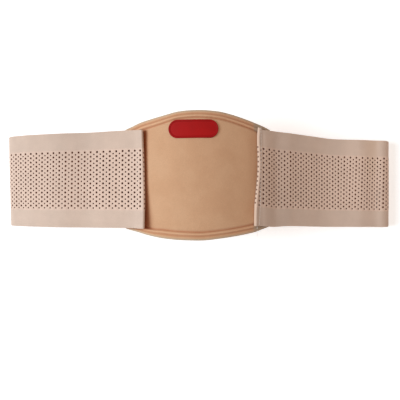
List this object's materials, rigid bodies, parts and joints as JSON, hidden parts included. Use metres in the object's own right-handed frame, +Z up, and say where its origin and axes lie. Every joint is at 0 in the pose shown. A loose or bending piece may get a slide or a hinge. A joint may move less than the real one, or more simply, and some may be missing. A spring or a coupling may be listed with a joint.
{
  "type": "hernia belt",
  "caption": "Hernia belt: a wide perforated elastic band, closed in a flattened loop round a padded oval front panel with a blank red label.",
  "frame": {"origin": "middle of the footprint of the belt as it lies on its back, on the surface that it lies on", "axes": "+X along the belt from the fastened end to the sewn end, +Y across it towards the label, +Z up out of the front panel"},
  "size_m": [0.4384, 0.1312, 0.0915],
  "materials": {
    "band_elastic": "matt knitted elastic, perforated",
    "panel_cloth": "brushed velour over foam",
    "hook_tape": "matt hook tape",
    "label_rubber": "satin moulded"
  },
  "bodies": {
    "root": {"elastic_band": "band_elastic", "front_panel": "panel_cloth", "hook_patch": "hook_tape", "label": "label_rubber"}
  },
  "joints": []
}
